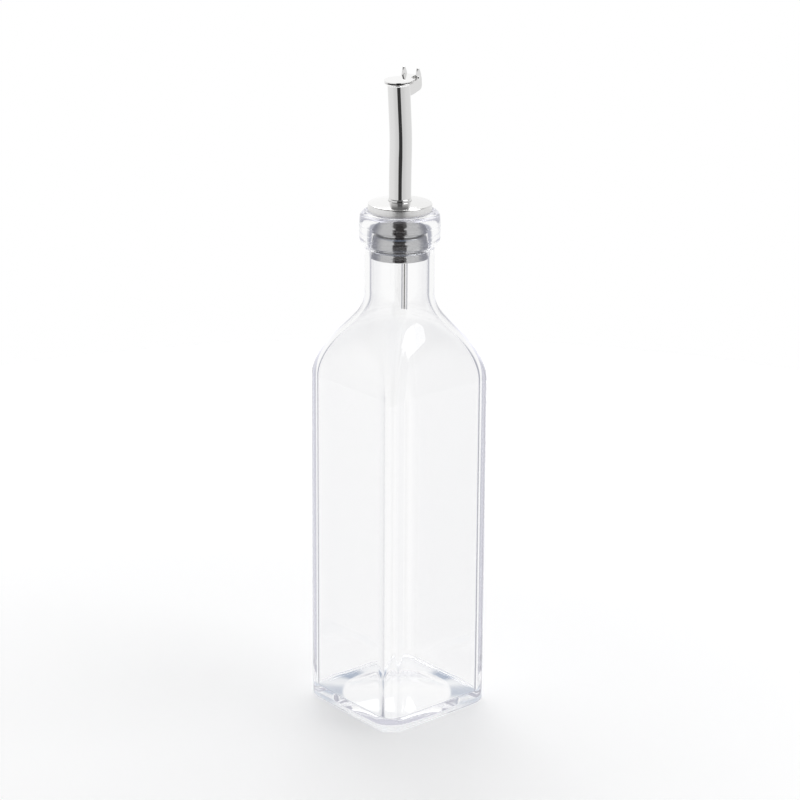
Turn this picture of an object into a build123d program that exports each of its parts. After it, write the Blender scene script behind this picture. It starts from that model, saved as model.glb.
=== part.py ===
from build123d import *
import math
import os

# A square clear plastic bottle with a stopper pourer: a steel spout with an air tube
# inside it and a hinged lid over its mouth. All sizes are millimetres, +Z is up, the
# origin is at the middle of the bottle's underside and the flat sides face X and Y.

# Bottle
BASE_SIDE = 60.0
SIDE_DRAFT = 0.25
CORNER_R = 8.4
SIDE_CROWN = 0.7
BODY_WALL = 4.4
INSIDE_CORNER_R = 3.6
NECK_WALL = 2.9
PLATE_THICKNESS = 3.2
FLOOR_STEP = 1.8
FOOT_ROUND = 2.0
BODY_HEIGHT = 154.4
SHOULDER_SLOPE = 35.8
SHOULDER_CONVEX_R = 37.5
SHOULDER_CONCAVE_R = 19.1
CORNER_EASE = 1.4
SHOULDER_SECTIONS = 16
BORE_R = 12.2
NECK_LENGTH = 35.2
BORE_CHAMFER = 0.5
RIM_RISE = 1.7
RIM_FLAT = 0.25
BEAD_R = 17.55
BEAD_EDGE_R = 17.4
BEAD_TOP_ROUND = 4.4
BEAD_BAND = 9.1
BEAD_CONE = 3.0
BEAD_CONE_BULGE = 0.15

# Stopper
STOPPER_DEPTH = 19.6
RIB_COUNT = 3
RIB_PITCH = 6.0
RIB_HEIGHT = 4.9
RIB_TOP_ROUND = 1.3
RIB_TOP_CURVE = 2.2
RIB_DRAFT = 0.5
GROOVE_R = 10.1

# Collar
COLLAR_R = 13.87
COLLAR_SHEET = 0.5
COLLAR_SKIRT = 3.9
COLLAR_ROUND = 0.7
COLLAR_DOME = 1.3

# Spout tube
SPOUT_TURN = 20.0
SPOUT_R = 4.85
SPOUT_SHEET = 0.6
SPOUT_BEND_LOW = 16.8
SPOUT_BEND_HIGH = 31.3
SPOUT_LENGTH = 55.2
BEND_REARWARD = 0.6
MOUTH_FORWARD = 1.56
FLARE_HEIGHT = 1.4
FLARE_R = 6.15
FOOT_BEAD_R = 5.15
FOOT_BEAD_HEIGHT = 0.9
ARC_SHARE = 0.45

# Air tube
VENT_R = 1.4
VENT_SHEET = 0.3
VENT_DROP = 25.0
VENT_ANGLE = 90.0
VENT_BEVEL = 20.0

# Hinge bracket
BRACKET_SHEET = 0.8
BRACKET_GAP = 6.0
CHEEK_DROP = 6.7
CHEEK_TAPER = 0.6
CHEEK_BACK = 12.9
CHEEK_TOP = 1.25
CHEEK_ROUND = 2.0
CHEEK_FRONT = 5.7
EAR_HALF_WIDTH = 1.9
EAR_BULGE = 0.3
EAR_HEIGHT = 3.6
EAR_TIP_ROUND = 0.45

# Hinge pin
PIN_R = 0.65
PIN_BACK = 10.8
PIN_DROP = 1.0
PIN_HEAD_R = 1.0
PIN_HEAD_HEIGHT = 0.35

# Lid
LID_SHEET = 0.35
LID_REST_ANGLE = 1.7
ARM_WIDTH = 5.4
ARM_FILLET = 1.5
KNUCKLE_SHEET = 0.6
TAIL_LENGTH = 4.2
TAIL_SHEET = 1.0
TAIL_ANGLE = 55.0

# Clearances
WELD_GAP = 0.03
STOPPER_CLEARANCE = 0.05
SEAT_GAP = 0.05
RIM_CLEARANCE = 0.2
SLEEVE_GAP = 0.02
VENT_GAP = 0.05
HINGE_CLEARANCE = 0.05
LID_GAP = 0.05

UP = Vector(0, 0, 1)
ROUND_SPLIT = 22.5
NECK_R = BORE_R + NECK_WALL
FOOT_REACH = BASE_SIDE / 2 - SIDE_DRAFT

# The shoulder's two arcs meet a straight slope, whose length closes the gap to the neck
SLOPE = math.radians(SHOULDER_SLOPE)
ARC_SHIFT = (SHOULDER_CONVEX_R + SHOULDER_CONCAVE_R) * (1 - math.cos(SLOPE))
SLOPE_LENGTH = (FOOT_REACH - NECK_R - ARC_SHIFT) / math.sin(SLOPE)
ARC_RISE = (SHOULDER_CONVEX_R + SHOULDER_CONCAVE_R) * math.sin(SLOPE)
NECK_START = BODY_HEIGHT + ARC_RISE + SLOPE_LENGTH * math.cos(SLOPE)
LIP_TOP = NECK_START + NECK_LENGTH
COLLAR_BOTTOM = LIP_TOP + SEAT_GAP


def ramp(height):
    """Share of the way up the shoulder, from 0 at its foot to 1 at the neck."""
    share = (height - BODY_HEIGHT) / (NECK_START - BODY_HEIGHT)
    return min(max(share, 0.0), 1.0)


def wall(height):
    """Thickness of the wall, which thins over the shoulder from the body's to the neck's."""
    share = ramp(height)
    return BODY_WALL + (NECK_WALL - BODY_WALL) * share**2 * (3 - 2 * share)


def side_reach(height, inset):
    """Distance from the axis to the middle of a flat side.

    On the shoulder this is an arc, a straight slope and a reversed arc into the neck.
    """
    if height <= BODY_HEIGHT:
        return FOOT_REACH + SIDE_DRAFT * (1 - height / BODY_HEIGHT) - inset
    outer_r = SHOULDER_CONVEX_R - inset
    inner_r = SHOULDER_CONCAVE_R + inset
    above_foot = height - BODY_HEIGHT
    below_neck = max(NECK_START - height, 0.0)
    if above_foot <= outer_r * math.sin(SLOPE):
        return FOOT_REACH - inset - outer_r + math.sqrt(outer_r**2 - above_foot**2)
    if below_neck <= inner_r * math.sin(SLOPE):
        return NECK_R - inset + inner_r - math.sqrt(inner_r**2 - below_neck**2)
    drop = above_foot - outer_r * math.sin(SLOPE)
    return FOOT_REACH - inset - outer_r * (1 - math.cos(SLOPE)) - drop * math.tan(SLOPE)


def section_arcs(height, inset, foot_corner):
    """Start, middle and end of the arcs of one rounded square, four sides and four corners.

    The corners have the radius foot_corner up to the shoulder, which rounds them to the neck.
    """
    share = ramp(height)
    spread = math.radians(SIDE_CROWN + (ROUND_SPLIT - SIDE_CROWN) * share**2 * (3 - 2 * share))
    side = side_reach(height, inset)
    grown = math.sin(share**CORNER_EASE * math.pi / 2)
    corner_r = foot_corner + (NECK_R - inset - foot_corner) * grown
    centre = (side - corner_r) * math.sin(spread) / (1 + math.sin(spread) - math.cos(spread))
    side_r = centre / math.sin(spread) + corner_r
    side_centre = side - side_r
    arcs = []
    for turn in range(4):
        for x, y, radius, angles in (
            (side_centre, 0, side_r, (-spread, 0, spread)),
            (centre, centre, corner_r, (spread, math.pi / 4, math.pi / 2 - spread)),
        ):
            points = [Vector(x + radius * math.cos(at), y + radius * math.sin(at)) for at in angles]
            arcs.append([point.rotate(Axis.Z, 90 * turn) for point in points])
    return arcs


def section(height, inset=0.0, foot_corner=CORNER_R):
    """One level of the bottle, inset from the outside by a distance."""
    with BuildSketch(Plane.XY.offset(height)) as level:
        with BuildLine():
            for start, middle, end in section_arcs(height, inset, foot_corner):
                ThreePointArc(start, middle, end)
        make_face()
    return level.sketch


def levels(foot):
    """Heights from the foot of the straight wall to the top of the shoulder."""
    step = (NECK_START - BODY_HEIGHT) / SHOULDER_SECTIONS
    return [foot, *(BODY_HEIGHT + step * count for count in range(SHOULDER_SECTIONS + 1))]


def oval_middle(start, end):
    """The middle of a quarter oval that leaves start upright and reaches end level."""
    share = math.sqrt(0.5)
    return (
        end[0] + (start[0] - end[0]) * share,
        start[1] + (end[1] - start[1]) * share,
    )


# Bottle body: open at its foot, where the base plate is welded in. The pourer's collar is
# seated on the lip, in a shallow recess inside the bead's rim.
rim_top = LIP_TOP + RIM_RISE
rim_r = COLLAR_R + RIM_CLEARANCE
band_top = rim_top - BEAD_TOP_ROUND
band_low = band_top - BEAD_BAND
bead_foot = band_low - BEAD_CONE
outside = [section(height) for height in levels(PLATE_THICKNESS)]
inside = [section(height, wall(height), INSIDE_CORNER_R) for height in levels(0)]
with BuildPart() as bottle_body:
    loft(outside, ruled=True)
    with BuildSketch(Plane.XZ):
        with BuildLine():
            Polyline((0, band_top), (0, NECK_START), (NECK_R, NECK_START), (NECK_R, bead_foot))
            cone_middle = (
                (BEAD_EDGE_R + NECK_R) / 2 + BEAD_CONE_BULGE,
                (band_low + bead_foot) / 2 - BEAD_CONE_BULGE,
            )
            ThreePointArc((NECK_R, bead_foot), cone_middle, (BEAD_EDGE_R, band_low))
            band_middle = (BEAD_R, (band_low + band_top) / 2)
            ThreePointArc((BEAD_EDGE_R, band_low), band_middle, (BEAD_EDGE_R, band_top))
            rim_edge = (rim_r + RIM_FLAT, rim_top)
            top_middle = oval_middle((BEAD_EDGE_R, band_top), rim_edge)
            ThreePointArc((BEAD_EDGE_R, band_top), top_middle, rim_edge)
            Polyline(rim_edge, (0, rim_top), (0, band_top))
        make_face()
    revolve(axis=Axis.Z)
    loft(inside, ruled=True, mode=Mode.SUBTRACT)
    with BuildSketch(Plane.XZ):
        with BuildLine():
            Polyline(
                (0, NECK_START),
                (BORE_R, NECK_START),
                (BORE_R, LIP_TOP - BORE_CHAMFER),
                (BORE_R + BORE_CHAMFER, LIP_TOP),
                (rim_r, LIP_TOP),
                (rim_r, rim_top),
                (0, rim_top),
                close=True,
            )
        make_face()
    revolve(axis=Axis.Z, mode=Mode.SUBTRACT)
bottle_body.part.label = "bottle_body"

# Bottle base: a thick plate whose raised step fills the foot of the body
floor_top = PLATE_THICKNESS + FLOOR_STEP
step_inset = BODY_WALL + WELD_GAP
step_corner = INSIDE_CORNER_R - WELD_GAP
plate_levels = [section(height) for height in (0, PLATE_THICKNESS)]
step_levels = [
    section(height, step_inset, step_corner) for height in (PLATE_THICKNESS, floor_top)
]
with BuildPart() as bottle_base:
    loft(plate_levels, ruled=True)
    fillet(bottle_base.faces().sort_by(Axis.Z)[0].edges(), FOOT_ROUND)
    loft(step_levels, ruled=True)
bottle_base.part.label = "bottle_base"


def dome_height(radius):
    """Height of the collar's shallow dome above its rim, out to the rim's rounding."""
    span = COLLAR_R - COLLAR_ROUND
    ball_r = (span**2 + COLLAR_DOME**2) / (2 * COLLAR_DOME)
    return math.sqrt(ball_r**2 - radius**2) - (ball_r - COLLAR_DOME)


def dome_line(inner, outer, base):
    """Arc of the dome between two radii, above a base height."""
    middle = (inner + outer) / 2
    ThreePointArc(
        (outer, base + dome_height(outer)),
        (middle, base + dome_height(middle)),
        (inner, base + dome_height(inner)),
    )


# Stopper: a soft plug with three ribs, whose head fills the collar
stopper_bottom = LIP_TOP - STOPPER_DEPTH
plug_bore = SPOUT_R + SLEEVE_GAP
rib_r = BORE_R - STOPPER_CLEARANCE
collar_rim = COLLAR_BOTTOM + COLLAR_SKIRT
head_r = COLLAR_R - COLLAR_SHEET - SLEEVE_GAP
head_base = collar_rim - COLLAR_SHEET - SLEEVE_GAP
head_corner = COLLAR_ROUND - COLLAR_SHEET + SLEEVE_GAP
dome_edge = COLLAR_R - COLLAR_ROUND
with BuildPart() as stopper:
    with BuildSketch(Plane.XZ):
        with BuildLine():
            Line((plug_bore, COLLAR_BOTTOM), (plug_bore, head_base + dome_height(plug_bore)))
            dome_line(plug_bore, dome_edge, head_base)
            Polyline((dome_edge, head_base), (head_r, head_base - head_corner),
                     (head_r, COLLAR_BOTTOM))
            Line((head_r, COLLAR_BOTTOM), (plug_bore, COLLAR_BOTTOM))
        make_face()
        with BuildLine():
            Polyline(
                (plug_bore, stopper_bottom),
                (plug_bore, COLLAR_BOTTOM),
                (GROOVE_R, COLLAR_BOTTOM),
                (GROOVE_R, stopper_bottom),
                close=True,
            )
        make_face()
        for rib in range(RIB_COUNT):
            rib_foot = stopper_bottom + RIB_PITCH * rib
            rib_top = rib_foot + RIB_HEIGHT
            round_start = (rib_r - RIB_DRAFT, rib_top - RIB_TOP_CURVE)
            round_end = (round_start[0] - RIB_TOP_ROUND, rib_top)
            with BuildLine():
                Polyline(
                    round_end,
                    (plug_bore, rib_top),
                    (plug_bore, rib_foot),
                    (rib_r - RIB_DRAFT / 2, rib_foot),
                    (rib_r, rib_foot + RIB_DRAFT / 2),
                    (rib_r, rib_foot + RIB_DRAFT),
                    round_start,
                )
                ThreePointArc(round_start, oval_middle(round_start, round_end), round_end)
            make_face()
    revolve(axis=Axis.Z)
stopper.part.label = "stopper"

# Collar: a shallow pressed cup over the stopper's head
with BuildPart() as collar:
    with BuildSketch(Plane.XZ):
        for sheet in (0, COLLAR_SHEET):
            radius = COLLAR_R - sheet
            base = collar_rim - sheet
            low = COLLAR_BOTTOM
            hole = plug_bore
            with BuildLine():
                Line((hole, low), (hole, base + dome_height(hole)))
                dome_line(hole, dome_edge, base)
                corner_r = radius - dome_edge
                round_start = (radius, base - corner_r)
                round_end = (dome_edge, base)
                ThreePointArc(round_end, oval_middle(round_start, round_end), round_start)
                Polyline(round_start, (radius, low), (hole, low))
            make_face(mode=Mode.SUBTRACT if sheet else Mode.ADD)
    revolve(axis=Axis.Z)
collar.part.label = "collar"

# The spout pours over the front left of the bottle, so its own rear points the other way
rear_angle = math.radians(90 + SPOUT_TURN)
rear = Vector(math.cos(rear_angle), math.sin(rear_angle), 0)
lateral = rear.cross(UP)
pour_plane = Plane(origin=(0, 0, 0), x_dir=rear, z_dir=lateral)


def bend_radii(points):
    """Largest radius at each inner corner of a path that its two runs allow."""
    radii = []
    for before, corner, after in zip(points, points[1:], points[2:]):
        heading_in = math.atan2(corner[0] - before[0], corner[1] - before[1])
        heading_out = math.atan2(after[0] - corner[0], after[1] - corner[1])
        run = min(math.dist(before, corner), math.dist(corner, after))
        radii.append(ARC_SHARE * run / math.tan(abs(heading_out - heading_in) / 2))
    return radii


# Spout tube: upright in the stopper, then bent a little back and forward again
spout_top = LIP_TOP + SPOUT_LENGTH
spout_points = [
    (0, stopper_bottom),
    (0, LIP_TOP + SPOUT_BEND_LOW),
    (BEND_REARWARD, LIP_TOP + SPOUT_BEND_HIGH),
    (-MOUTH_FORWARD, spout_top),
]
lean = math.atan2(BEND_REARWARD + MOUTH_FORWARD, SPOUT_LENGTH - SPOUT_BEND_HIGH)
head_axis = UP * math.cos(lean) - rear * math.sin(lean)
head_rear = head_axis.cross(lateral)
tube_end = rear * -MOUTH_FORWARD + UP * spout_top
mouth = tube_end + head_axis * FLARE_HEIGHT
head_plane = Plane(origin=mouth, x_dir=head_rear, z_dir=head_axis)
side_plane = Plane(origin=mouth, x_dir=head_rear, z_dir=lateral)
collar_top = collar_rim + dome_height(plug_bore)
spout_bore = SPOUT_R - SPOUT_SHEET
rim_half = SPOUT_SHEET / 2
with BuildPart() as spout_tube:
    with BuildLine(pour_plane):
        FilletPolyline(*spout_points, radius=bend_radii(spout_points))
    with BuildSketch(Plane.XY.offset(stopper_bottom)):
        Circle(SPOUT_R)
        Circle(spout_bore, mode=Mode.SUBTRACT)
    sweep()
    with BuildSketch(side_plane):
        with BuildLine():
            Line((spout_bore, -FLARE_HEIGHT), (SPOUT_R, -FLARE_HEIGHT))
            outer_end = (FLARE_R, -rim_half)
            flare_middle = (SPOUT_R + (FLARE_R - SPOUT_R) * 0.35, -FLARE_HEIGHT * 0.45)
            ThreePointArc((SPOUT_R, -FLARE_HEIGHT), flare_middle, outer_end)
            inner_end = (FLARE_R - rim_half, 0)
            ThreePointArc(outer_end, oval_middle(outer_end, inner_end), inner_end)
            bore_middle = (spout_bore + (FLARE_R - SPOUT_R) * 0.35, -FLARE_HEIGHT * 0.42)
            ThreePointArc(inner_end, bore_middle, (spout_bore, -FLARE_HEIGHT))
        make_face()
    revolve(axis=Axis(mouth, head_axis))
    with BuildSketch(Plane.XZ):
        with BuildLine():
            bead_low = (FOOT_BEAD_R, collar_top + SLEEVE_GAP)
            bead_top = (SPOUT_R, collar_top + FOOT_BEAD_HEIGHT)
            Polyline(bead_top, (SPOUT_R - rim_half, collar_top + FOOT_BEAD_HEIGHT),
                     (SPOUT_R - rim_half, collar_top + SLEEVE_GAP), bead_low)
            ThreePointArc(bead_low, oval_middle(bead_low, bead_top), bead_top)
        make_face()
    revolve(axis=Axis.Z)
spout_tube.part.label = "spout_tube"

# Air tube: runs along the inside of the spout, down past the stopper into the neck
vent_offset = spout_bore - VENT_R - VENT_GAP
vent_angle = math.radians(VENT_ANGLE)
vent_shift = Vector(math.cos(vent_angle), math.sin(vent_angle), 0) * vent_offset
vent_plane = Plane(origin=vent_shift, x_dir=rear, z_dir=lateral)
vent_rear = vent_shift.dot(rear) * math.cos(lean)
rest_angle = math.radians(LID_REST_ANGLE)
lid_slope = math.tan(rest_angle) * (PIN_BACK - vent_rear - VENT_R)
lid_lift = PIN_DROP / math.cos(rest_angle) - PIN_DROP
vent_proud = lid_slope + lid_lift - LID_GAP
vent_rise = FLARE_HEIGHT + vent_proud + vent_shift.dot(rear) * math.sin(lean)
vent_end = (
    -MOUTH_FORWARD - vent_rise * math.sin(lean),
    spout_top + vent_rise * math.cos(lean),
)
vent_bottom = stopper_bottom - VENT_DROP
vent_points = [(0, vent_bottom), *spout_points[1:-1], vent_end]
with BuildPart() as vent_tube:
    with BuildLine(vent_plane):
        FilletPolyline(*vent_points, radius=bend_radii(vent_points))
    with BuildSketch(Plane.XY.offset(vent_bottom)):
        with Locations(vent_shift):
            Circle(VENT_R)
            Circle(VENT_R - VENT_SHEET, mode=Mode.SUBTRACT)
    sweep()
    bevel = math.radians(VENT_BEVEL)
    bevel_base = vent_shift + UP * (vent_bottom + VENT_R * math.tan(bevel))
    bevel_dir = rear * math.sin(bevel) + UP * math.cos(bevel)
    split(bisect_by=Plane(origin=bevel_base, z_dir=bevel_dir), keep=Keep.TOP)
vent_tube.part.label = "vent_tube"

# Hinge bracket: a saddle around the rear of the spout with two cheeks that end in ears
cheek_out = BRACKET_GAP / 2 + BRACKET_SHEET
saddle_r = SPOUT_R + SLEEVE_GAP
saddle_top = FLARE_HEIGHT + BRACKET_SHEET / 2
ear_front = (PIN_BACK - EAR_HALF_WIDTH, -CHEEK_TOP)
ear_rear = (PIN_BACK + EAR_HALF_WIDTH, -CHEEK_TOP)
ear_tip = (PIN_BACK, EAR_HEIGHT)
with BuildPart() as hinge_bracket:
    with BuildSketch(head_plane.offset(-CHEEK_DROP)):
        with Locations((CHEEK_BACK / 2, 0)):
            Rectangle(CHEEK_BACK, 2 * cheek_out)
        with Locations((CHEEK_BACK / 2 + saddle_r, 0)):
            Rectangle(CHEEK_BACK, BRACKET_GAP, mode=Mode.SUBTRACT)
        with BuildSketch(mode=Mode.PRIVATE) as saddle:
            Circle(saddle_r + BRACKET_SHEET)
            with Locations((-saddle_r, 0)):
                Rectangle(2 * saddle_r, 4 * saddle_r, mode=Mode.SUBTRACT)
            Rectangle(4 * saddle_r, 2 * cheek_out, mode=Mode.INTERSECT)
        add(saddle.sketch)
        Circle(saddle_r, mode=Mode.SUBTRACT)
    extrude(amount=CHEEK_DROP + EAR_HEIGHT)
    with BuildSketch(side_plane):
        with BuildLine():
            Polyline(
                ear_front,
                (CHEEK_FRONT, -CHEEK_TOP),
                (CHEEK_FRONT, -saddle_top),
                (0, -saddle_top),
                (0, -CHEEK_DROP),
                (CHEEK_FRONT, -CHEEK_DROP),
                (CHEEK_BACK, -CHEEK_DROP + CHEEK_TAPER),
                (CHEEK_BACK, -CHEEK_TOP),
                ear_rear,
            )
            for foot, bulge in ((ear_front, -EAR_BULGE), (ear_rear, EAR_BULGE)):
                middle = ((foot[0] + ear_tip[0]) / 2 + bulge, (foot[1] + ear_tip[1]) / 2 + EAR_BULGE / 2)
                ThreePointArc(foot, middle, ear_tip)
        make_face()
        fillet(vertices().sort_by(Axis.Y)[-1], EAR_TIP_ROUND)
        fillet(vertices().group_by(Axis.X)[-1].sort_by(Axis.Y)[0], CHEEK_ROUND)
    extrude(amount=cheek_out, both=True, mode=Mode.INTERSECT)
    pin_level = Plane(origin=head_plane.from_local_coords((PIN_BACK, 0, -PIN_DROP)), z_dir=lateral)
    with BuildSketch(pin_level):
        Circle(PIN_R + SLEEVE_GAP)
    extrude(amount=cheek_out, both=True, mode=Mode.SUBTRACT)
hinge_bracket.part.label = "hinge_bracket"

# Hinge pin: riveted through both ears
with BuildPart() as hinge_pin:
    with BuildSketch(pin_level):
        Circle(PIN_R)
    extrude(amount=cheek_out + PIN_HEAD_HEIGHT, both=True)
    for side in (-1, 1):
        with BuildSketch(pin_level.offset(side * (cheek_out + SLEEVE_GAP))):
            Circle(PIN_HEAD_R)
        extrude(amount=side * PIN_HEAD_HEIGHT)
    pin_ends = hinge_pin.faces().filter_by(GeomType.PLANE).sort_by(Axis(mouth, lateral))
    fillet([pin_ends[0].edges(), pin_ends[-1].edges()], PIN_HEAD_HEIGHT / 2)
hinge_pin.part.label = "hinge_pin"

# Lid: a round flap on a narrow arm that ends in a knuckle and a short tail. At rest it
# leans on the air tube's tip, a little open.
lid_rear = head_rear * math.cos(rest_angle) - head_axis * math.sin(rest_angle)
lid_up = head_axis * math.cos(rest_angle) + head_rear * math.sin(rest_angle)
pivot = pin_level.origin
lid_plane = Plane(origin=pivot, x_dir=lid_rear, z_dir=lid_up)
lid_side = Plane(origin=pivot, x_dir=lid_rear, z_dir=lateral)
knuckle_bore = PIN_R + HINGE_CLEARANCE
with BuildPart() as lid:
    with BuildSketch(lid_plane.offset(PIN_DROP)):
        with Locations((-PIN_BACK, 0)):
            Circle(FLARE_R)
        with Locations((-PIN_BACK / 2, 0)):
            Rectangle(PIN_BACK, ARM_WIDTH)
        fillet(vertices().sort_by(Axis.X)[:2], ARM_FILLET)
    extrude(amount=LID_SHEET)
    with BuildSketch(lid_side):
        Circle(knuckle_bore + KNUCKLE_SHEET)
        tail_middle = TAIL_LENGTH / 2
        tail = math.radians(-TAIL_ANGLE)
        with Locations((tail_middle * math.cos(tail), tail_middle * math.sin(tail))):
            Rectangle(TAIL_LENGTH, TAIL_SHEET, rotation=-TAIL_ANGLE)
    extrude(amount=ARM_WIDTH / 2, both=True)
    with BuildSketch(lid_side):
        Circle(knuckle_bore)
    extrude(amount=ARM_WIDTH / 2, both=True, mode=Mode.SUBTRACT)
lid.part.label = "lid"

os.makedirs("parts", exist_ok=True)
for piece in (
    bottle_body,
    bottle_base,
    stopper,
    collar,
    spout_tube,
    vent_tube,
    hinge_bracket,
    hinge_pin,
    lid,
):
    export_step(piece.part, "parts/" + piece.part.label + ".step")

print("hinge axis passes", pivot, "along", lateral * -1)
print("mouth centre", mouth, "leaning", math.degrees(lean))
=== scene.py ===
import math

import bpy
from mathutils import Matrix, Vector


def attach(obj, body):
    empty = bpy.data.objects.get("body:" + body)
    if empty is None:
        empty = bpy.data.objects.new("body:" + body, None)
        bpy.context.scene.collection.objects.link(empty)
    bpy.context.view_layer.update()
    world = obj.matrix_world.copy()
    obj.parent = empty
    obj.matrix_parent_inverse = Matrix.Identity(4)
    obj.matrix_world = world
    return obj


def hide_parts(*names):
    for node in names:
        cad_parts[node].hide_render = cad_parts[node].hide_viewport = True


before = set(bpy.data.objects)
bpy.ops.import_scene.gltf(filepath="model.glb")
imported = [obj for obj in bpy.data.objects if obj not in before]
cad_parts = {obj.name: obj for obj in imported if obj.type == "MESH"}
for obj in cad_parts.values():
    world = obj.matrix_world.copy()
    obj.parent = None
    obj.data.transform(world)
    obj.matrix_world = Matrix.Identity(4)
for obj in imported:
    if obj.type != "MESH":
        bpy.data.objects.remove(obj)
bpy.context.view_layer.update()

MM = 0.001

# Camera, as the photograph was taken, in metres, degrees and millimetres of lens
CAMERA_AZIMUTH = 49.83
CAMERA_DISTANCE = 1.009
CAMERA_HEIGHT = 0.4849
CAMERA_SIDE = 0.00048
CAMERA_PITCH = 18.72
CAMERA_ROLL = 0.317
CAMERA_LENS = 109.15
CAMERA_CLIP = 0.01
SENSOR = 36.0

# Bottle, the same sizes as the construction's
BASE_SIDE = 60.0 * MM
SIDE_DRAFT = 0.25 * MM
CORNER_R = 8.4 * MM
INSIDE_CORNER_R = 3.6 * MM
SIDE_CROWN = math.radians(0.7)
ROUND_SPLIT = math.radians(22.5)
BODY_WALL = 4.4 * MM
NECK_WALL = 2.9 * MM
PLATE_THICKNESS = 3.2 * MM
FLOOR_TOP = 5.0 * MM
FOOT_ROUND = 2.0 * MM
BODY_HEIGHT = 154.4 * MM
SHOULDER_SLOPE = math.radians(35.8)
SHOULDER_CONVEX_R = 37.5 * MM
SHOULDER_CONCAVE_R = 19.1 * MM
CORNER_EASE = 1.4
BORE_R = 12.2 * MM
NECK_R = BORE_R + NECK_WALL
NECK_LENGTH = 35.2 * MM
BORE_CHAMFER = 0.5 * MM
RIM_R = 14.07 * MM
RIM_FLAT = 0.25 * MM
BEAD_R = 17.55 * MM
BEAD_EDGE_R = 17.4 * MM
BEAD_BAND = 9.1 * MM
BEAD_CONE = 3.0 * MM
BEAD_CONE_BULGE = 0.15 * MM

# Bottle, details of the looks alone. The rim stands lower than the construction's, so
# that the collar's skirt shows over it as in the photograph.
RIM_RISE = 0.6 * MM
BEAD_TOP_ROUND = 3.3 * MM
CREASE_DROPS = (10.5 * MM, 5.0 * MM)
CREASE_DEPTH = 0.16 * MM
CREASE_WIDTH = 0.20 * MM
FLOOR_COVE = 4.0 * MM
FLOOR_COVE_HEIGHT = 1.3 * MM
WELD_GROOVE = 0.12 * MM
WELD_WIDTH = 0.35 * MM
PARTING_RIDGE = 0.05 * MM
DIMPLE_R = 22.5 * MM
DIMPLE_DEPTH = 1.4 * MM
DIMPLE_HUB = 0.1
DIMPLE_EDGE = 0.20 * MM
FOOT_EDGE = 0.35 * MM

FOOT_REACH = BASE_SIDE / 2 - SIDE_DRAFT
ARC_SHIFT = (SHOULDER_CONVEX_R + SHOULDER_CONCAVE_R) * (1 - math.cos(SHOULDER_SLOPE))
SLOPE_LENGTH = (FOOT_REACH - NECK_R - ARC_SHIFT) / math.sin(SHOULDER_SLOPE)
ARC_RISE = (SHOULDER_CONVEX_R + SHOULDER_CONCAVE_R) * math.sin(SHOULDER_SLOPE)
NECK_START = BODY_HEIGHT + ARC_RISE + SLOPE_LENGTH * math.cos(SHOULDER_SLOPE)
LIP_TOP = NECK_START + NECK_LENGTH

# Steps of the bottle's mesh
SIDE_STEPS = 20
CORNER_STEPS = 20
SHOULDER_STEPS = 56
WALL_STEPS = 12
ARC_STEPS = 10
BAND_STEPS = 12
NECK_STEPS = 6
DIMPLE_STEPS = 8
CAP_SHARES = (0.75, 0.4, 0.1)

# The range that holds most of a noise's values
NOISE_RANGE = (0.3, 0.7)

# Clear plastic. Where a ray was reflected more often than LAST_BOUNCE, the plastic glows
# with painted light, by the ray's rise in degrees, in place of the black of a path that is cut short.
PLASTIC_COLOR = (0.996, 0.996, 0.999, 1.0)
PLASTIC_IOR = 1.49
PLASTIC_HAZE = (0.0, 0.012)
PLASTIC_SHADOW = 0.14
LAST_BOUNCE = 3.5
TRAPPED_PAINTED_LIGHT = ((-90.0, 0.14), (-50.0, 0.16), (-38.0, 0.56), (-22.0, 0.34), (0.0, 0.28), (90.0, 0.26))
TRAPPED_PAINTED_LIGHT_TINT = (0.97, 0.97, 1.08, 1.0)

# Steel and silicone. The skirt's roughness goes by the share of the collar's height.
STEEL_COLOR = (0.87, 0.867, 0.862, 1.0)
DRAWN_GRAIN = (1.0, 1.0, 0.04)
DRAWN_ROUGHNESS = (0.035, 0.075)
TURNED_GRAIN = (1.0, 1.0, 1.0)
TURNED_ROUGHNESS = (0.04, 0.08)
PRESSED_GRAIN = (0.2, 0.2, 4.0)
PRESSED_SPREAD = (0.85, 1.15)
SKIRT_ROUGHNESS = ((0.0, 0.44), (0.6, 0.28), (0.75, 0.10), (1.0, 0.07))
SILICONE_COLOR = (0.007, 0.007, 0.008, 1.0)
SILICONE_DUST = (0.015, 0.015, 0.016, 1.0)
SILICONE_IOR = 6.0
SILICONE_ROUGHNESS = (0.10, 0.16)

# Table. Its own light goes by the distance from the bottle, in metres.
TABLE_R = 0.55
TABLE_STEPS = 96
TABLE_COLOR = (0.93, 0.93, 0.935, 1.0)
TABLE_ROUGHNESS = 0.9
TABLE_GLOSS = 0.1
TABLE_LIFTS = ((0.0, 0.19), (0.12, 0.21), (0.3, 0.27), (TABLE_R, 0.36))
WHITE = (1.0, 1.0, 1.0, 1.0)

# Studio, in degrees round from the camera's side, left and right alike, and degrees of
# rise. SLOT_REACH is in hundreds of degrees, as a curve's results lie between 0 and 1.
SLOT_EDGE = 1.6
SLOT_TONE = 0.04
SLOT_REACH_UNIT = 100.0
SLOT_REACH = ((-90.0, 0.165), (-12.0, 0.175), (5.0, 0.27), (90.0, 0.27))
PANEL_TONES = ((0.0, 0.66), (40.0, 0.70), (70.0, 0.80), (140.0, 0.84), (160.0, 1.0), (180.0, 1.0))
PANEL_LEAN = 0.03
PANEL_LEAN_REACH = 30.0
ROOM_START = 22.0
ROOM_FULL = 34.0
ROOM_SIDE = 130.0
ROOM_FRONT = 100.0
ROOM_TONE = 0.16

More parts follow.
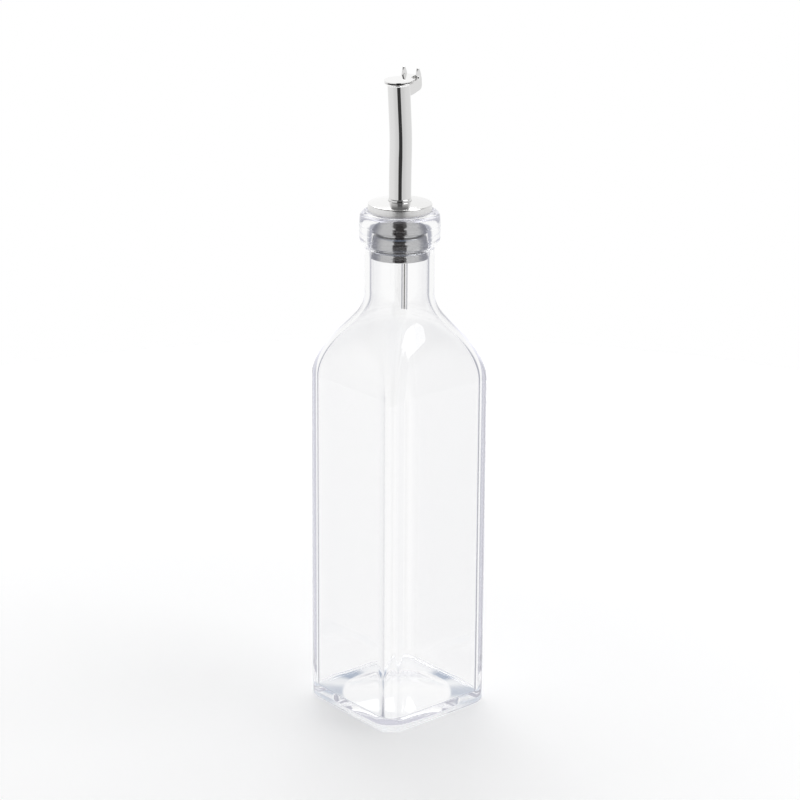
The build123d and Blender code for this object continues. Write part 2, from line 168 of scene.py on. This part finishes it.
# What the clear plastic shows of the studio, by the same degrees
WHITE_SHARES = ((0.0, 0.95), (70.0, 0.85), (100.0, 0.0), (128.0, 0.05), (140.0, 0.95), (180.0, 1.0))
THROUGH_WHITE = (1.0, 1.0, 0.995, 1.0)
THROUGH_SHADE = (0.36, 0.37, 0.43, 1.0)
THROUGH_SLOT = (0.05, 0.045, 0.042, 1.0)
CEILING_START = 25.0
CEILING_FULL = 55.0
CEILING_COLOR = (0.30, 0.37, 0.50, 1.0)

# Patches of painted shade on the table under the foot, by the same degrees round from the camera
PAINTED_FOOT_SHADE_COLOR = (0.27, 0.34, 0.46, 1.0)
PAINTED_FOOT_SHADE_EDGE = 1.2 * MM
PAINTED_FOOT_PATCHES = ((0.0, 0.1), (72.0, 0.2), (86.0, 0.75), (97.0, 0.6), (106.0, 0.12), (114.0, 0.2),
                (123.0, 0.95), (137.0, 0.85), (148.0, 0.1), (180.0, 0.05))

# Softboxes: name, azimuth and elevation in degrees. The rest is in metres and watts.
SOFTBOXES = (("left_softbox", 150.0, 50.0), ("right_softbox", 40.0, 55.0))
SOFTBOX_DISTANCE = 1.6
SOFTBOX_SIDE = 0.8
SOFTBOX_POWER = 6.0
SOFTBOX_AIM_HEIGHT = 0.15


def camera():
    """The photograph's camera, turned round the bottle from the front."""
    data = bpy.data.cameras.new("photo_camera")
    data.sensor_width = SENSOR
    data.lens = CAMERA_LENS
    data.clip_start = CAMERA_CLIP
    eye = bpy.data.objects.new("photo_camera", data)
    bpy.context.scene.collection.objects.link(eye)
    eye.matrix_world = (
        Matrix.Rotation(math.radians(CAMERA_AZIMUTH), 4, "Z")
        @ Matrix.Translation((CAMERA_SIDE, -CAMERA_DISTANCE, CAMERA_HEIGHT))
        @ Matrix.Rotation(math.radians(90 - CAMERA_PITCH), 4, "X")
        @ Matrix.Rotation(math.radians(CAMERA_ROLL), 4, "Z")
    )
    bpy.context.scene.camera = eye


# Node helpers
def new_material(name):
    """A material with an empty node tree but for its output and one Principled shader."""
    material = bpy.data.materials.new(name)
    material.use_nodes = True
    tree = material.node_tree
    tree.nodes.clear()
    output = tree.nodes.new("ShaderNodeOutputMaterial")
    shader = tree.nodes.new("ShaderNodeBsdfPrincipled")
    tree.links.new(shader.outputs["BSDF"], output.inputs["Surface"])
    return material, tree, shader


def add_node(tree, kind, inputs=(), **settings):
    """A node with its settings and its inputs, each a value or a socket."""
    node = tree.nodes.new(kind)
    for key, value in settings.items():
        setattr(node, key, value)
    for key, value in dict(inputs).items():
        if hasattr(value, "is_linked"):
            tree.links.new(value, node.inputs[key])
        else:
            node.inputs[key].default_value = value
    return node


def math_node(tree, operation, *values):
    """The result of one sum on values or sockets."""
    return add_node(tree, "ShaderNodeMath", enumerate(values), operation=operation).outputs["Value"]


def between(tree, value, start, end, low=0.0, high=1.0, **settings):
    """A value's way from start to end, mapped to the range from low to high and kept in it."""
    node = add_node(tree, "ShaderNodeMapRange", {
        "Value": value,
        "From Min": start,
        "From Max": end,
        "To Min": low,
        "To Max": high,
    }, **settings)
    return node.outputs["Result"]


def ramp_node(tree, value, points):
    """A curve through pairs of a value and a result, straight between them."""
    node = tree.nodes.new("ShaderNodeFloatCurve")
    start, end = points[0][0], points[-1][0]
    tree.links.new(between(tree, value, start, end), node.inputs["Value"])
    curve = node.mapping.curves[0]
    placed = [((at - start) / (end - start), result) for at, result in points]
    curve.points[0].location = placed[0]
    curve.points[1].location = placed[-1]
    for at in placed[1:-1]:
        curve.points.new(*at)
    for point in curve.points:
        point.handle_type = "VECTOR"
    node.mapping.update()
    return node.outputs["Value"]


def mixed(tree, factor, low, high, data_type="RGBA"):
    """A colour between two, each a colour or a socket, or a grey with the data type FLOAT."""
    inputs = {"Factor": factor, "A": low, "B": high}
    return add_node(tree, "ShaderNodeMix", inputs, data_type=data_type).outputs["Result"]


def mixed_shaders(tree, factor, low, high):
    """A shader between two."""
    node = add_node(tree, "ShaderNodeMixShader", {0: factor, 1: low, 2: high})
    return node.outputs["Shader"]


def noise(tree, scale, detail=2.0, stretch=(1.0, 1.0, 1.0)):
    """Noise in the object's own metres, stretched along its axes."""
    place = add_node(tree, "ShaderNodeTexCoord")
    mapping = add_node(tree, "ShaderNodeMapping", {
        "Vector": place.outputs["Object"],
        "Scale": stretch,
    })
    texture = add_node(tree, "ShaderNodeTexNoise", {
        "Vector": mapping.outputs["Vector"],
        "Scale": scale,
        "Detail": detail,
    })
    return texture.outputs["Fac"]


def spread(tree, value, low, high):
    """Maps a noise's usual values to the range from low to high."""
    return between(tree, value, *NOISE_RANGE, low, high)


def bump(tree, shader, height, strength, distance):
    """Small relief on a shader's normal."""
    node = add_node(tree, "ShaderNodeBump", {
        "Height": height,
        "Strength": strength,
        "Distance": distance,
    })
    tree.links.new(node.outputs["Normal"], shader.inputs["Normal"])


# Materials
def clear_plastic():
    """Clear glossy moulded plastic, with faint flow waves and a few fine handling marks."""
    material, tree, shader = new_material("clear_plastic_moulded")
    shader.inputs["Base Color"].default_value = PLASTIC_COLOR
    shader.inputs["Transmission Weight"].default_value = 1.0
    shader.inputs["IOR"].default_value = PLASTIC_IOR
    haze = spread(tree, noise(tree, scale=60.0, detail=3.0), *PLASTIC_HAZE)
    tree.links.new(haze, shader.inputs["Roughness"])
    waves = noise(tree, scale=35.0, detail=1.0, stretch=(1.0, 1.0, 0.35))
    bump(tree, shader, waves, strength=0.12, distance=0.4 * MM)

    # Light passes on to the table, but for a faint shadow
    path = add_node(tree, "ShaderNodeLightPath")
    soft = math_node(tree, "MULTIPLY_ADD", path.outputs["Is Shadow Ray"], PLASTIC_SHADOW - 1.0, 1.0)
    tree.links.new(soft, shader.inputs["Alpha"])

    # Painted light: the plastic glows for rays reflected more than LAST_BOUNCE times, by their rise
    trapped = math_node(tree, "GREATER_THAN", path.outputs["Glossy Depth"], LAST_BOUNCE)
    rise = onward_bearings(tree)[2]
    painted_glow = math_node(tree, "MULTIPLY", trapped, ramp_node(tree, rise, TRAPPED_PAINTED_LIGHT))
    tree.links.new(painted_glow, shader.inputs["Emission Strength"])
    shader.inputs["Emission Color"].default_value = TRAPPED_PAINTED_LIGHT_TINT
    return material


def bare_steel(name):
    """Steel without its finish."""
    material, tree, shader = new_material(name)
    shader.inputs["Metallic"].default_value = 1.0
    shader.inputs["Base Color"].default_value = STEEL_COLOR
    return material, tree, shader


def polished_steel(name, grain, roughness):
    """Polished stainless steel with faint drawing lines and shallow waves."""
    material, tree, shader = bare_steel(name)
    lines = noise(tree, scale=1400.0, detail=3.0, stretch=grain)
    tree.links.new(spread(tree, lines, *roughness), shader.inputs["Roughness"])
    dents = noise(tree, scale=90.0, stretch=(1.0, 1.0, 0.5))
    bump(tree, shader, dents, strength=0.025, distance=0.8 * MM)
    return material


def pressed_steel():
    """Polished steel whose skirt keeps the marks of the press, coarser towards its edge."""
    material, tree, shader = bare_steel("steel_pressed")
    place = add_node(tree, "ShaderNodeTexCoord")
    parts = add_node(tree, "ShaderNodeSeparateXYZ", {0: place.outputs["Generated"]})
    marks = ramp_node(tree, parts.outputs["Z"], SKIRT_ROUGHNESS)
    lines = noise(tree, scale=1400.0, detail=3.0, stretch=PRESSED_GRAIN)
    rough = math_node(tree, "MULTIPLY", marks, spread(tree, lines, *PRESSED_SPREAD))
    tree.links.new(rough, shader.inputs["Roughness"])
    bump(tree, shader, noise(tree, scale=90.0), strength=0.02, distance=0.8 * MM)
    return material


def silicone():
    """Dark silicone, satin, with a fine moulded grain and paler dust in places."""
    material, tree, shader = new_material("dark_silicone")
    dust = spread(tree, noise(tree, scale=220.0, detail=4.0), 0.0, 1.0)
    color = mixed(tree, dust, SILICONE_COLOR, SILICONE_DUST)
    tree.links.new(color, shader.inputs["Base Color"])
    shader.inputs["IOR"].default_value = SILICONE_IOR
    grain = noise(tree, scale=2600.0, detail=3.0)
    tree.links.new(spread(tree, grain, *SILICONE_ROUGHNESS), shader.inputs["Roughness"])
    bump(tree, shader, grain, strength=0.05, distance=0.03 * MM)
    return material


# Bottle surface
def up_shoulder(height):
    """Share of the way up the shoulder, from 0 at its foot to 1 at the neck."""
    return min(max((height - BODY_HEIGHT) / (NECK_START - BODY_HEIGHT), 0.0), 1.0)


def eased(share):
    """A share from 0 to 1 that leaves 0 and reaches 1 softly."""
    return share**2 * (3 - 2 * share)


def wall(height):
    """Thickness of the wall, which thins over the shoulder from the body's to the neck's."""
    return BODY_WALL + (NECK_WALL - BODY_WALL) * eased(up_shoulder(height))


def side_reach(height, inset):
    """Distance from the axis to the middle of a flat side."""
    if height <= BODY_HEIGHT:
        return FOOT_REACH + SIDE_DRAFT * (1 - height / BODY_HEIGHT) - inset
    outer_r = SHOULDER_CONVEX_R - inset
    inner_r = SHOULDER_CONCAVE_R + inset
    above_foot = height - BODY_HEIGHT
    below_neck = max(NECK_START - height, 0.0)
    if above_foot <= outer_r * math.sin(SHOULDER_SLOPE):
        return FOOT_REACH - inset - outer_r + math.sqrt(outer_r**2 - above_foot**2)
    if below_neck <= inner_r * math.sin(SHOULDER_SLOPE):
        return NECK_R - inset + inner_r - math.sqrt(inner_r**2 - below_neck**2)
    drop = above_foot - outer_r * math.sin(SHOULDER_SLOPE)
    arc_shift = outer_r * (1 - math.cos(SHOULDER_SLOPE))
    return FOOT_REACH - inset - arc_shift - drop * math.tan(SHOULDER_SLOPE)


def section_ring(height, inset, foot_corner, level=None):
    """Points of the rounded square that belongs to a height, in arcs, and set at level."""
    share = up_shoulder(height)
    opening = SIDE_CROWN + (ROUND_SPLIT - SIDE_CROWN) * eased(share)
    side = side_reach(height, inset)
    grown = math.sin(share**CORNER_EASE * math.pi / 2)
    corner_r = foot_corner + (NECK_R - inset - foot_corner) * grown
    ratio = math.sin(opening) / (1 + math.sin(opening) - math.cos(opening))
    centre = (side - corner_r) * ratio
    side_r = centre / math.sin(opening) + corner_r
    points = []
    for turn in range(4):
        quarter = Matrix.Rotation(math.pi / 2 * turn, 2)
        for step in range(SIDE_STEPS):
            angle = opening * (2 * step / SIDE_STEPS - 1)
            at = Vector((side - side_r + side_r * math.cos(angle), side_r * math.sin(angle)))
            points.append(quarter @ at)
        for step in range(CORNER_STEPS):
            angle = opening + (math.pi / 2 - 2 * opening) * step / CORNER_STEPS
            at = Vector((centre + corner_r * math.cos(angle), centre + corner_r * math.sin(angle)))
            points.append(quarter @ at)
    level = height if level is None else level
    return [(point.x, point.y, level) for point in points]


def circle_ring(radius, height, ridge=0.0):
    """Points of a round level, in step with the rounded squares, with a ridge on each seam."""
    points = []
    for turn in range(4):
        start = math.pi / 2 * turn - ROUND_SPLIT
        for steps in (SIDE_STEPS, CORNER_STEPS):
            for step in range(steps):
                angle = start + 2 * ROUND_SPLIT * step / steps
                on_seam = turn % 2 and step == steps // 2
                reach = radius + (ridge if on_seam else 0.0)
                points.append((reach * math.cos(angle), reach * math.sin(angle), height))
            start += 2 * ROUND_SPLIT
    return points


def quarter_oval(start, end, steps):
    """Points from start, where the curve runs upright, to end, where it runs level."""
    points = []
    for step in range(1, steps + 1):
        angle = math.pi / 2 * step / steps
        points.append((
            end[0] + (start[0] - end[0]) * math.cos(angle),
            start[1] + (end[1] - start[1]) * math.sin(angle),
        ))
    return points


def shrunk(ring, share):
    """A ring drawn in towards the axis, for the flat of the floor."""
    return [(x * share, y * share, z) for x, y, z in ring]


def evenly(start, end, steps):
    """Heights from start to end, without the start."""
    return [start + (end - start) * step / steps for step in range(1, steps + 1)]


def bead_outline():
    """Radius and height of points up the bead, from its foot to the top of its rim."""
    rim_top = LIP_TOP + RIM_RISE
    band_top = rim_top - BEAD_TOP_ROUND
    band_low = band_top - BEAD_BAND
    cone_r = (BEAD_EDGE_R + NECK_R) / 2 + BEAD_CONE_BULGE
    cone_height = band_low - BEAD_CONE / 2 - BEAD_CONE_BULGE
    points = [(NECK_R, band_low - BEAD_CONE), (cone_r, cone_height), (BEAD_EDGE_R, band_low)]

    def band_r(height):
        share = (height - band_low) / BEAD_BAND
        return BEAD_EDGE_R + (BEAD_R - BEAD_EDGE_R) * math.sin(math.pi * share)

    # Two fine moulded creases run round the band, with no other points close to them
    creases = [LIP_TOP - drop for drop in CREASE_DROPS]
    band = [
        (band_r(height), height)
        for height in evenly(band_low, band_top, BAND_STEPS)[:-1]
        if min(abs(height - at) for at in creases) > 2 * CREASE_WIDTH
    ]
    for at in creases:
        band.append((band_r(at), at - CREASE_WIDTH))
        band.append((band_r(at) - CREASE_DEPTH, at))
        band.append((band_r(at), at + CREASE_WIDTH))
    points += sorted(band, key=lambda point: point[1])
    points.append((BEAD_EDGE_R, band_top))
    points += quarter_oval((BEAD_EDGE_R, band_top), (RIM_R + RIM_FLAT, rim_top), ARC_STEPS)
    return points


def outside_rings():
    """The outside of the welded bottle, from the middle of its underside to its rim."""
    rings = []
    for step in range(DIMPLE_STEPS + 1):
        share = DIMPLE_HUB + (1 - DIMPLE_HUB) * step / DIMPLE_STEPS
        rings.append(circle_ring(DIMPLE_R * share, DIMPLE_DEPTH * (1 - share**2)))

    # Narrow level bands keep the edges of the dimple and the foot crisp
    rings.append(circle_ring(DIMPLE_R + DIMPLE_EDGE, 0.0))
    for inset in (FOOT_ROUND + FOOT_EDGE, FOOT_ROUND):
        rings.append(section_ring(0.0, inset, CORNER_R - inset))
    for step in range(1, ARC_STEPS + 1):
        angle = math.pi / 2 * step / ARC_STEPS
        inset = FOOT_ROUND * (1 - math.sin(angle))
        level = FOOT_ROUND * (1 - math.cos(angle))
        rings.append(section_ring(0.0, inset, CORNER_R - inset, level))
    for height, inset in (
        (PLATE_THICKNESS - WELD_WIDTH, 0.0),
        (PLATE_THICKNESS, WELD_GROOVE),
        (PLATE_THICKNESS + WELD_WIDTH, 0.0),
    ):
        rings.append(section_ring(height, inset, CORNER_R - inset))
    for height in evenly(PLATE_THICKNESS + WELD_WIDTH, BODY_HEIGHT, WALL_STEPS):
        rings.append(section_ring(height, 0.0, CORNER_R))
    for height in evenly(BODY_HEIGHT, NECK_START, SHOULDER_STEPS):
        rings.append(section_ring(height, 0.0, CORNER_R))
    bead = bead_outline()
    for height in evenly(NECK_START, bead[0][1], NECK_STEPS):
        rings.append(circle_ring(NECK_R, height, PARTING_RIDGE))
    for radius, height in bead[1:]:
        rings.append(circle_ring(radius, height, PARTING_RIDGE))
    return rings


def inside_rings():
    """The inside, from the rim over the collar's seat down to the middle of the floor."""
    rings = [
        circle_ring(RIM_R, LIP_TOP + RIM_RISE),
        circle_ring(RIM_R, LIP_TOP),
        circle_ring(BORE_R + BORE_CHAMFER, LIP_TOP),
        circle_ring(BORE_R, LIP_TOP - BORE_CHAMFER),
    ]
    for height in evenly(LIP_TOP - BORE_CHAMFER, NECK_START, NECK_STEPS):
        rings.append(circle_ring(BORE_R, height))
    for height in evenly(NECK_START, BODY_HEIGHT, SHOULDER_STEPS):
        rings.append(section_ring(height, wall(height), INSIDE_CORNER_R))
    for height in evenly(BODY_HEIGHT, FLOOR_TOP + FLOOR_COVE_HEIGHT, WALL_STEPS):
        rings.append(section_ring(height, wall(height), INSIDE_CORNER_R))
    for step in range(1, ARC_STEPS + 1):
        angle = math.pi / 2 * step / ARC_STEPS
        inset = FLOOR_COVE * (1 - math.cos(angle))
        level = FLOOR_TOP + FLOOR_COVE_HEIGHT * (1 - math.sin(angle))
        rings.append(section_ring(0.0, BODY_WALL + inset, INSIDE_CORNER_R + inset, level))
    edge = rings[-1]
    return rings + [shrunk(edge, share) for share in CAP_SHARES]


def bottle_shell():
    """Body and base as the one clear piece that their weld makes of them."""
    rings = outside_rings() + inside_rings()
    count = len(rings[0])
    vertices = [point for ring in rings for point in ring]
    faces = []
    for ring in range(len(rings) - 1):
        for step in range(count):
            after = (step + 1) % count
            faces.append((
                ring * count + step,
                ring * count + after,
                (ring + 1) * count + after,
                (ring + 1) * count + step,
            ))
    faces.append(tuple(range(count))[::-1])
    faces.append(tuple(range((len(rings) - 1) * count, len(rings) * count)))
    mesh = bpy.data.meshes.new("bottle_shell")
    mesh.from_pydata(vertices, [], faces)
    mesh.validate()
    mesh.shade_smooth()
    shell = bpy.data.objects.new("bottle_shell", mesh)
    bpy.context.scene.collection.objects.link(shell)
    return shell


# Studio
def table_top(material):
    """A pale table top under the bottle."""
    bpy.ops.mesh.primitive_circle_add(vertices=TABLE_STEPS, radius=TABLE_R, fill_type="NGON")
    table = bpy.context.object
    table.name = "table_top"
    table.data.materials.append(material)


def heading(tree, parts):
    """Angle round the vertical, in degrees, of a direction that is split into its parts."""
    angle = math_node(tree, "ARCTAN2", parts.outputs["Y"], parts.outputs["X"])
    return math_node(tree, "DEGREES", angle)


def bearings(tree, direction):
    """A direction's angle left or right of the camera's side, that angle's size and the rise.

    The studio turns with the camera, so every side of the bottle is lit as in the photograph.
    """
    ahead = add_node(tree, "ShaderNodeVectorTransform", {"Vector": (0.0, 0.0, 1.0)},
                     vector_type="VECTOR", convert_from="CAMERA", convert_to="WORLD")
    ahead_parts = add_node(tree, "ShaderNodeSeparateXYZ", {0: ahead.outputs["Vector"]})
    parts = add_node(tree, "ShaderNodeSeparateXYZ", {0: direction})
    past = math_node(tree, "SUBTRACT", heading(tree, parts), heading(tree, ahead_parts))
    azimuth = math_node(tree, "WRAP", math_node(tree, "SUBTRACT", past, 180.0), 180.0, -180.0)
    rise = math_node(tree, "DEGREES", math_node(tree, "ARCSINE", parts.outputs["Z"]))
    return azimuth, math_node(tree, "ABSOLUTE", azimuth), rise


def onward_bearings(tree):
    """Bearings of the ray that meets a surface."""
    geometry = add_node(tree, "ShaderNodeNewGeometry")
    onward = add_node(tree, "ShaderNodeVectorMath", {
        0: geometry.outputs["Incoming"],
        "Scale": -1.0,
    }, operation="SCALE")
    return bearings(tree, onward.outputs["Vector"])


def slot_edge(tree, off, rise):
    """0 inside the dark slot at the camera and 1 outside it."""
    reach = math_node(tree, "MULTIPLY", ramp_node(tree, rise, SLOT_REACH), SLOT_REACH_UNIT)
    edge = math_node(tree, "SUBTRACT", off, reach)
    return between(tree, edge, -SLOT_EDGE, SLOT_EDGE, interpolation_type="SMOOTHSTEP")


def seen_through(tree, off, rise):
    """What shows through clear plastic: white behind the bottle and lavender at its sides."""
    walls = mixed(tree, ramp_node(tree, off, WHITE_SHARES), THROUGH_SHADE, THROUGH_WHITE)
    return mixed(tree, slot_edge(tree, off, rise), THROUGH_SLOT, walls)


def under_ceiling(tree, off, rise):
    """The tones through the plastic, with a bluish ceiling over them."""
    overhead = between(tree, rise, CEILING_START, CEILING_FULL)
    return mixed(tree, overhead, seen_through(tree, off, rise), CEILING_COLOR)


def painted_foot_shade(tree, place, reach):
    """How much painted shade the foot's ring puts on the table that it stands on, in patches round it.
    """
    outside_dimple = between(tree, reach, DIMPLE_R, DIMPLE_R + PAINTED_FOOT_SHADE_EDGE)
    parts = add_node(tree, "ShaderNodeSeparateXYZ", {0: place})
    across = math_node(tree, "ABSOLUTE", parts.outputs["X"])
    along = math_node(tree, "ABSOLUTE", parts.outputs["Y"])
    farther = math_node(tree, "MAXIMUM", across, along)
    under_foot = between(tree, farther, FOOT_REACH, FOOT_REACH - PAINTED_FOOT_SHADE_EDGE)
    ring = math_node(tree, "MULTIPLY", outside_dimple, under_foot)
    patches = ramp_node(tree, bearings(tree, place)[1], PAINTED_FOOT_PATCHES)
    return math_node(tree, "MULTIPLY", ring, patches)


def pale_floor():
    """White, lit and shaded by the studio, and in the studio's tones through the plastic, with painted
    shade under the foot.
    """
    material, tree, shader = new_material("pale_floor")
    shader.inputs["Base Color"].default_value = TABLE_COLOR
    shader.inputs["Roughness"].default_value = TABLE_ROUGHNESS
    shader.inputs["Specular IOR Level"].default_value = TABLE_GLOSS
    shader.inputs["Emission Color"].default_value = WHITE
    path = add_node(tree, "ShaderNodeLightPath")
    seen = math_node(tree, "MAXIMUM", path.outputs["Is Camera Ray"], path.outputs["Is Glossy Ray"])
    place = add_node(tree, "ShaderNodeTexCoord")
    reach = add_node(tree, "ShaderNodeVectorMath", {0: place.outputs["Object"]}, operation="LENGTH")
    lift = ramp_node(tree, reach.outputs["Value"], TABLE_LIFTS)
    tree.links.new(math_node(tree, "MULTIPLY", seen, lift), shader.inputs["Emission Strength"])
    _, off, rise = onward_bearings(tree)
    # Painted shade in patches under the foot, seen only through the plastic
    shade = painted_foot_shade(tree, place.outputs["Object"], reach.outputs["Value"])
    tone = mixed(tree, shade, seen_through(tree, off, rise), PAINTED_FOOT_SHADE_COLOR)
    even = add_node(tree, "ShaderNodeEmission", {"Color": tone})
    through = path.outputs["Is Transmission Ray"]
    both = mixed_shaders(tree, through, shader.outputs["BSDF"], even.outputs["Emission"])
    output = next(node for node in tree.nodes if node.type == "OUTPUT_MATERIAL")
    tree.links.new(both, output.inputs["Surface"])
    return material


def studio_world():
    """A white backdrop, two long panels and the dark gap between them where the camera is."""
    world = bpy.data.worlds.new("studio")
    bpy.context.scene.world = world
    world.use_nodes = True
    tree = world.node_tree
    tree.nodes.clear()
    output = add_node(tree, "ShaderNodeOutputWorld")
    place = add_node(tree, "ShaderNodeTexCoord")
    azimuth, off, rise = bearings(tree, place.outputs["Generated"])

    # What polished metal and the outer faces reflect, a little brighter at the left
    lean = between(tree, azimuth, -PANEL_LEAN_REACH, PANEL_LEAN_REACH, 1.0 + PANEL_LEAN,
                   1.0 - PANEL_LEAN)
    panels = math_node(tree, "MULTIPLY", ramp_node(tree, off, PANEL_TONES), lean)
    reflected = mixed(tree, slot_edge(tree, off, rise), SLOT_TONE, panels, "FLOAT")

    # The dark room over the camera, which edges and rims reflect
    high = between(tree, rise, ROOM_START, ROOM_FULL)
    near = between(tree, off, ROOM_SIDE, ROOM_FRONT)
    room = math_node(tree, "MULTIPLY", high, near)
    reflected = mixed(tree, room, reflected, ROOM_TONE, "FLOAT")

    tint = under_ceiling(tree, off, rise)
    path = add_node(tree, "ShaderNodeLightPath")
    tone = mixed(tree, path.outputs["Is Transmission Ray"], reflected, tint)
    studio = add_node(tree, "ShaderNodeBackground", {"Color": tone}).outputs["Background"]
    backdrop = add_node(tree, "ShaderNodeBackground", {"Color": WHITE}).outputs["Background"]
    both = mixed_shaders(tree, path.outputs["Is Camera Ray"], studio, backdrop)
    tree.links.new(both, output.inputs["Surface"])


def softbox(name, azimuth, elevation):
    """A square softbox that faces the bottle's middle."""
    data = bpy.data.lights.new(name, "AREA")
    data.shape = "SQUARE"
    data.size = SOFTBOX_SIDE
    data.energy = SOFTBOX_POWER
    lamp = bpy.data.objects.new(name, data)
    bpy.context.scene.collection.objects.link(lamp)
    turn = Matrix.Rotation(math.radians(azimuth), 4, "Z")
    out = turn @ Vector((math.cos(math.radians(elevation)), 0.0, math.sin(math.radians(elevation))))
    lamp.location = out * SOFTBOX_DISTANCE + Vector((0.0, 0.0, SOFTBOX_AIM_HEIGHT))
    lamp.rotation_euler = out.to_track_quat("Z", "Y").to_euler()


# Scene
bpy.context.scene.view_settings.view_transform = "Standard"
camera()
studio_world()
for name, azimuth, elevation in SOFTBOXES:
    softbox(name, azimuth, elevation)
table_top(pale_floor())

shell = bottle_shell()
shell.data.materials.append(clear_plastic())
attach(shell, "bottle")
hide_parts("bottle_body", "bottle_base")

steel = polished_steel("steel_polished", DRAWN_GRAIN, DRAWN_ROUGHNESS)
turned_steel = polished_steel("steel_turned", TURNED_GRAIN, TURNED_ROUGHNESS)
finishes = {
    "stopper": silicone(),
    "collar": pressed_steel(),
    "spout_tube": steel,
    "vent_tube": steel,
    "hinge_bracket": turned_steel,
    "hinge_pin": turned_steel,
    "lid": turned_steel,
}
for node, finish in finishes.items():
    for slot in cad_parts[node].material_slots:
        slot.material = finish
